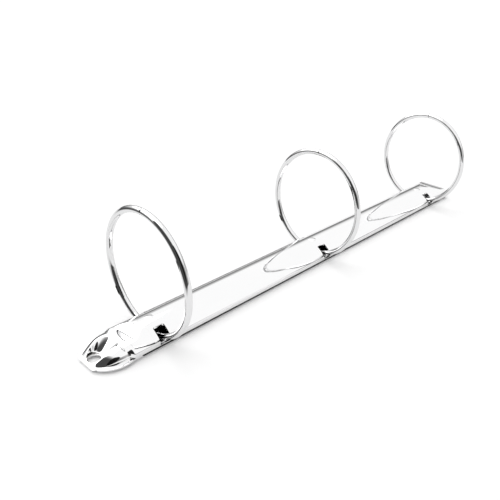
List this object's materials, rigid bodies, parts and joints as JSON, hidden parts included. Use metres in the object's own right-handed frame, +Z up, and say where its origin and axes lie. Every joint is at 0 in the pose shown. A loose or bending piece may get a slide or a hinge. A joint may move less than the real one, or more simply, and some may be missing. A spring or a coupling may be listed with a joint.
{
  "type": "ring binder mechanism",
  "caption": "Snap-closing ring binder mechanism: round wire rings on a long arched metal plate with a dished rivet lobe at one end; paired spring leaves underneath open all rings together.",
  "frame": {"origin": "on the base plane, under the middle ring and on the centre plane", "axes": "+X along the mechanism, away from its dished end; +Z up through the rings; left is +Y"},
  "size_m": [0.2794, 0.0562, 0.0591],
  "materials": {
    "cover": "polished nickel plate on pressed spring steel",
    "leaf": "nickel plate on spring steel",
    "ring": "polished nickel plate on steel wire"
  },
  "bodies": {
    "housing": {"cover_plate": "cover"},
    "left_leaf": {"left_hinge_leaf": "leaf", "near_left_half_ring": "ring", "middle_left_half_ring": "ring", "far_left_half_ring": "ring"},
    "right_leaf": {"right_hinge_leaf": "leaf", "near_right_half_ring": "ring", "middle_right_half_ring": "ring", "far_right_half_ring": "ring"}
  },
  "joints": [
    {"name": "left_leaf_hinge", "type": "hinge", "parent": "housing", "child": "left_leaf", "pos_m": [0, 0.0095, 0.0015], "axis": [-1, 0, 0], "range_deg": [0, 23]},
    {"name": "right_leaf_hinge", "type": "hinge", "parent": "housing", "child": "right_leaf", "pos_m": [0, -0.0095, 0.0015], "axis": [1, 0, 0], "range_deg": [0, 23]}
  ],
  "couplings": [
    {"joint": "right_leaf_hinge", "follows": "left_leaf_hinge", "ratio": 1}
  ]
}
